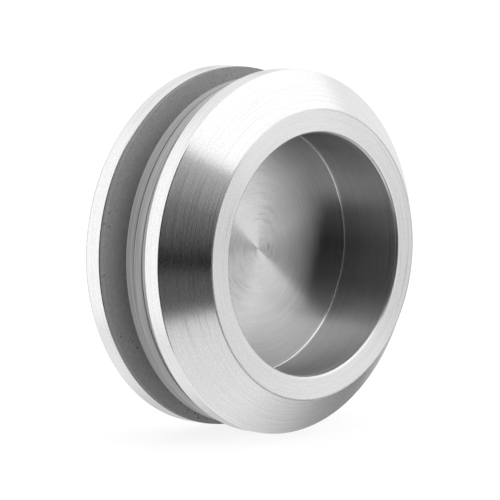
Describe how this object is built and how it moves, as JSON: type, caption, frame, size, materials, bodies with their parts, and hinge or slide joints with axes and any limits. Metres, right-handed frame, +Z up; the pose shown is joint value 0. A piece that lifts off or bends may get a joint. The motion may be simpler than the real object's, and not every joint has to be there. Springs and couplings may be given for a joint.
{
  "type": "glass door cup handle",
  "caption": "Round cup pull for both sides of a glass door: turned steel shells that screw together through a hole in the pane, with soft spacer washers and a gasket.",
  "frame": {"origin": "on the handle's axis, midway between the front and rear shells, which is the middle of the whole handle when it is screwed right in", "axes": "+Y along the handle's axis from the front cup to the rear cup, so the front cup opens to -Y; +Z up and +X to the right, seen from the front"},
  "size_m": [0.065, 0.0306, 0.065],
  "materials": {
    "stainless": "turned and satin brushed stainless steel",
    "spacer": "soft light grey plastic, matt",
    "gasket": "matt dark grey rubber"
  },
  "bodies": {
    "front_half": {"front_shell": "stainless", "spacer_washer_1": "spacer", "spacer_washer_2": "spacer", "spacer_washer_3": "spacer"},
    "gasket": {"rear_gasket": "gasket"},
    "rear_half": {"rear_shell": "stainless"}
  },
  "joints": [
    {"name": "gasket_slide", "type": "slide", "parent": "front_half", "child": "gasket", "axis": [0, 1, 0], "range_m": [0, 0.003]},
    {"name": "rear_screw", "type": "hinge", "parent": "gasket", "child": "rear_half", "pos_m": [0, 0, 0], "axis": [0, 1, 0], "range_deg": [0, 1080]}
  ],
  "couplings": [
    {"joint": "gasket_slide", "follows": "rear_screw", "m_per_rad": 0.00015915}
  ]
}
